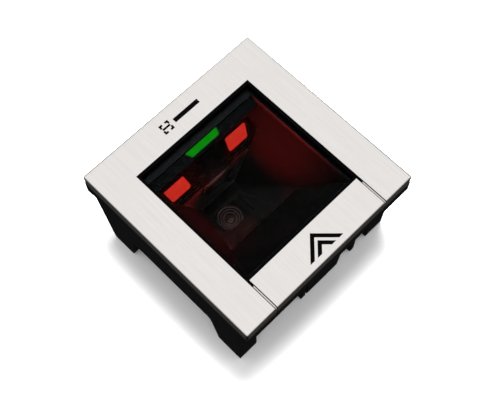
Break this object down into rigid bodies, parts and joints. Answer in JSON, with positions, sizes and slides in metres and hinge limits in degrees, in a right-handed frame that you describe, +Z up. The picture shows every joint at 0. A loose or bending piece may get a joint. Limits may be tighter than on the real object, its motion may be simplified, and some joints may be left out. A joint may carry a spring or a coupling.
{
  "type": "flatbed barcode scanner",
  "caption": "Square in-counter barcode scanner: steel cover with a glass window over a black housing on legs, with camera, folding mirror, red lamps and green status bar.",
  "frame": {"origin": "middle of the square footprint, on the surface that the rubber feet stand on", "axes": "+Z up through the scan window, -Y towards the cashier's side with the separate cover strip, +X to the right of that side"},
  "size_m": [0.152, 0.152, 0.091],
  "materials": {
    "brushed_steel": "fine one-way grain",
    "black_enamel": "matt black fill",
    "rib_plastic": "moulded grey",
    "black_plastic": "fine spark texture",
    "chamber_plastic": "matt black inside surface",
    "seal_foam": "closed-cell foam",
    "window_glass": "clear hardened glass",
    "foot_rubber": "matt rubber",
    "zinc_screw": "zinc plate",
    "front_mirror": "front-surface mirror",
    "red_window": "red translucent diffuser",
    "green_guide": "green translucent light guide",
    "circuit_board": "solder mask",
    "led_body": "white package",
    "lens_glass": "coated lens",
    "lens_black": "ringed matt barrel",
    "dark_window": "infrared-pass plastic",
    "flex_film": "polyimide film",
    "copper_coil": "enamelled copper",
    "socket_metal": "plated shell",
    "socket_plastic": "moulded insulator",
    "shield_metal": "tinned sheet",
    "chip_black": "moulded package",
    "button_grey": "moulded cap"
  },
  "bodies": {
    "housing": {"upper_housing": "black_plastic", "lower_housing": "black_plastic", "rubber_feet": "foot_rubber", "housing_screws": "zinc_screw", "optics_tub": "black_plastic", "tub_screws": "zinc_screw", "optical_chamber": "chamber_plastic", "fold_mirror": "front_mirror", "illumination_block": "chamber_plastic", "illumination_window_left": "red_window", "illumination_window_right": "red_window", "led_board_left": "circuit_board", "led_board_right": "circuit_board", "illumination_leds": "led_body", "indicator_ledge": "chamber_plastic", "status_light_guide": "green_guide", "status_led_board": "circuit_board", "status_leds": "led_body", "lens_barrel": "lens_black", "camera_lens": "lens_glass", "camera_housing": "chamber_plastic", "sensor_board": "circuit_board", "image_sensor": "chip_black", "camera_flex": "flex_film", "wake_sensor_window": "dark_window", "wake_sensor": "chip_black", "main_board": "circuit_board", "board_screws": "zinc_screw", "processor_shield": "shield_metal", "board_components": "chip_black", "eas_antenna": "copper_coil", "socket_box": "black_plastic", "host_socket": "socket_plastic", "aux_socket": "socket_metal", "power_socket": "socket_plastic", "socket_contacts": "socket_metal", "interface_board": "circuit_board", "button_switch": "chip_black", "sounder_box": "black_plastic", "sounder": "chip_black"},
    "top_cover": {"top_cover_frame": "brushed_steel", "front_cover_strip": "brushed_steel", "direction_mark": "black_enamel", "scan_mark": "black_enamel", "gap_rib_left": "rib_plastic", "gap_rib_right": "rib_plastic", "cover_carrier": "black_plastic", "window_seal": "seal_foam", "scan_window": "window_glass"},
    "volume_button": {"volume_button": "button_grey"}
  },
  "joints": [
    {"name": "cover_lift", "type": "slide", "parent": "housing", "child": "top_cover", "axis": [0, 0, 1], "range_m": [0, 0.06]},
    {"name": "button_press", "type": "slide", "parent": "housing", "child": "volume_button", "axis": [0, 1, 0], "range_m": [0, 0.001], "stiffness_N_per_m": 800, "springref_m": -0.0005}
  ]
}
